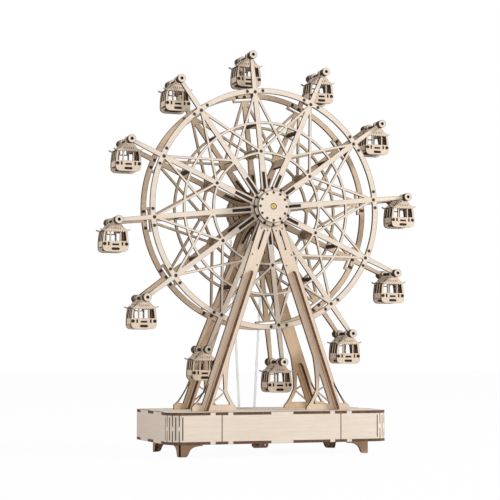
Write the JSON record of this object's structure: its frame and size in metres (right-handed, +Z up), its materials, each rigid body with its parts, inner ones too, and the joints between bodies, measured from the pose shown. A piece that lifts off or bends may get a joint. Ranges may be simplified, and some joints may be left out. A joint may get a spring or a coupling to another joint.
{
  "type": "wooden ferris wheel music box",
  "caption": "Laser-cut plywood ferris wheel with hanging cabins, turned by a wind-up music movement hidden in its rounded base.",
  "frame": {"origin": "on the table, under the middle of the base", "axes": "+Z up, +X to the right seen from the front, +Y to the back; the wheel turns about a line along Y"},
  "size_m": [0.2616, 0.0986, 0.3127],
  "materials": {
    "birch_ply": "bare pale plywood, faintly satin",
    "scorched_ply": "plywood whose cut edges are burnt dark brown by the laser",
    "brass": "polished",
    "steel": "brushed",
    "dark_steel": "blackened, smooth",
    "silicone": "milky, half clear"
  },
  "bodies": {
    "base": {"bottom_plate": "birch_ply", "deck_plate": "birch_ply", "front_middle_panel": "birch_ply", "back_middle_panel": "birch_ply", "left_wrap_panel": "birch_ply", "right_wrap_panel": "birch_ply", "front_left_leg": "birch_ply", "front_left_leg_rib": "birch_ply", "front_right_leg": "birch_ply", "front_right_leg_rib": "birch_ply", "back_left_leg": "birch_ply", "back_left_leg_rib": "birch_ply", "back_right_leg": "birch_ply", "back_right_leg_rib": "birch_ply", "front_bearing_plate": "birch_ply", "front_hub_cap": "birch_ply", "back_bearing_plate": "birch_ply", "foot_front_left": "scorched_ply", "foot_front_right": "scorched_ply", "foot_back_left": "scorched_ply", "foot_back_right": "scorched_ply", "movement_bedplate": "steel", "comb": "steel", "governor_housing": "brass", "belt": "silicone"},
    "wheel": {"wheel_front_frame": "birch_ply", "wheel_back_frame": "birch_ply", "hub_ribs": "birch_ply", "wheel_shaft": "brass", "front_spacer": "birch_ply", "back_spacer": "birch_ply", "hub_pulley": "birch_ply", "cabin_axle_01": "birch_ply", "cabin_axle_02": "birch_ply", "cabin_axle_03": "birch_ply", "cabin_axle_04": "birch_ply", "cabin_axle_05": "birch_ply", "cabin_axle_06": "birch_ply", "cabin_axle_07": "birch_ply", "cabin_axle_08": "birch_ply", "cabin_axle_09": "birch_ply", "cabin_axle_10": "birch_ply", "cabin_axle_11": "birch_ply", "cabin_axle_12": "birch_ply"},
    "cylinder": {"pinned_cylinder": "brass", "drive_pulley": "birch_ply"},
    "barrel": {"spring_barrel": "brass"},
    "key": {"winding_key": "dark_steel"},
    "cabin_01_body": {"cabin_01": "birch_ply"},
    "cabin_02_body": {"cabin_02": "birch_ply"},
    "cabin_03_body": {"cabin_03": "birch_ply"},
    "cabin_04_body": {"cabin_04": "birch_ply"},
    "cabin_05_body": {"cabin_05": "birch_ply"},
    "cabin_06_body": {"cabin_06": "birch_ply"},
    "cabin_07_body": {"cabin_07": "birch_ply"},
    "cabin_08_body": {"cabin_08": "birch_ply"},
    "cabin_09_body": {"cabin_09": "birch_ply"},
    "cabin_10_body": {"cabin_10": "birch_ply"},
    "cabin_11_body": {"cabin_11": "birch_ply"},
    "cabin_12_body": {"cabin_12": "birch_ply"}
  },
  "joints": [
    {"name": "wheel_spin", "type": "hinge", "parent": "base", "child": "wheel", "pos_m": [0, -0.003, 0.1894], "axis": [0, 1, 0], "continuous": true},
    {"name": "cylinder_spin", "type": "hinge", "parent": "base", "child": "cylinder", "pos_m": [0, 0.0199, 0.022], "axis": [0, 1, 0], "continuous": true},
    {"name": "barrel_spin", "type": "hinge", "parent": "base", "child": "barrel", "pos_m": [0, 0, 0.019], "axis": [0, 0, 1], "continuous": true},
    {"name": "key_turn", "type": "hinge", "parent": "base", "child": "key", "pos_m": [0, 0, 0.0057], "axis": [0, 0, 1], "range_deg": [0, 1620]},
    {"name": "cabin_01_swing", "type": "hinge", "parent": "wheel", "child": "cabin_01_body", "pos_m": [0.11932, -0.003, 0.20217], "axis": [0, 1, 0], "continuous": true},
    {"name": "cabin_02_swing", "type": "hinge", "parent": "wheel", "child": "cabin_02_body", "pos_m": [0.09695, -0.003, 0.26012], "axis": [0, 1, 0], "continuous": true},
    {"name": "cabin_03_swing", "type": "hinge", "parent": "wheel", "child": "cabin_03_body", "pos_m": [0.0486, -0.003, 0.29912], "axis": [0, 1, 0], "continuous": true},
    {"name": "cabin_04_swing", "type": "hinge", "parent": "wheel", "child": "cabin_04_body", "pos_m": [-0.01277, -0.003, 0.30872], "axis": [0, 1, 0], "continuous": true},
    {"name": "cabin_05_swing", "type": "hinge", "parent": "wheel", "child": "cabin_05_body", "pos_m": [-0.07072, -0.003, 0.28635], "axis": [0, 1, 0], "continuous": true},
    {"name": "cabin_06_swing", "type": "hinge", "parent": "wheel", "child": "cabin_06_body", "pos_m": [-0.10972, -0.003, 0.238], "axis": [0, 1, 0], "continuous": true},
    {"name": "cabin_07_swing", "type": "hinge", "parent": "wheel", "child": "cabin_07_body", "pos_m": [-0.11932, -0.003, 0.17663], "axis": [0, 1, 0], "continuous": true},
    {"name": "cabin_08_swing", "type": "hinge", "parent": "wheel", "child": "cabin_08_body", "pos_m": [-0.09695, -0.003, 0.11868], "axis": [0, 1, 0], "continuous": true},
    {"name": "cabin_09_swing", "type": "hinge", "parent": "wheel", "child": "cabin_09_body", "pos_m": [-0.0486, -0.003, 0.07968], "axis": [0, 1, 0], "continuous": true},
    {"name": "cabin_10_swing", "type": "hinge", "parent": "wheel", "child": "cabin_10_body", "pos_m": [0.01277, -0.003, 0.07008], "axis": [0, 1, 0], "continuous": true},
    {"name": "cabin_11_swing", "type": "hinge", "parent": "wheel", "child": "cabin_11_body", "pos_m": [0.07072, -0.003, 0.09245], "axis": [0, 1, 0], "continuous": true},
    {"name": "cabin_12_swing", "type": "hinge", "parent": "wheel", "child": "cabin_12_body", "pos_m": [0.10972, -0.003, 0.1408], "axis": [0, 1, 0], "continuous": true}
  ],
  "couplings": [
    {"joint": "cylinder_spin", "follows": "wheel_spin", "ratio": 2.5862},
    {"joint": "barrel_spin", "follows": "wheel_spin", "ratio": -0.5332},
    {"joint": "cabin_01_swing", "follows": "wheel_spin", "ratio": -1},
    {"joint": "cabin_02_swing", "follows": "wheel_spin", "ratio": -1},
    {"joint": "cabin_03_swing", "follows": "wheel_spin", "ratio": -1},
    {"joint": "cabin_04_swing", "follows": "wheel_spin", "ratio": -1},
    {"joint": "cabin_05_swing", "follows": "wheel_spin", "ratio": -1},
    {"joint": "cabin_06_swing", "follows": "wheel_spin", "ratio": -1},
    {"joint": "cabin_07_swing", "follows": "wheel_spin", "ratio": -1},
    {"joint": "cabin_08_swing", "follows": "wheel_spin", "ratio": -1},
    {"joint": "cabin_09_swing", "follows": "wheel_spin", "ratio": -1},
    {"joint": "cabin_10_swing", "follows": "wheel_spin", "ratio": -1},
    {"joint": "cabin_11_swing", "follows": "wheel_spin", "ratio": -1},
    {"joint": "cabin_12_swing", "follows": "wheel_spin", "ratio": -1}
  ]
}
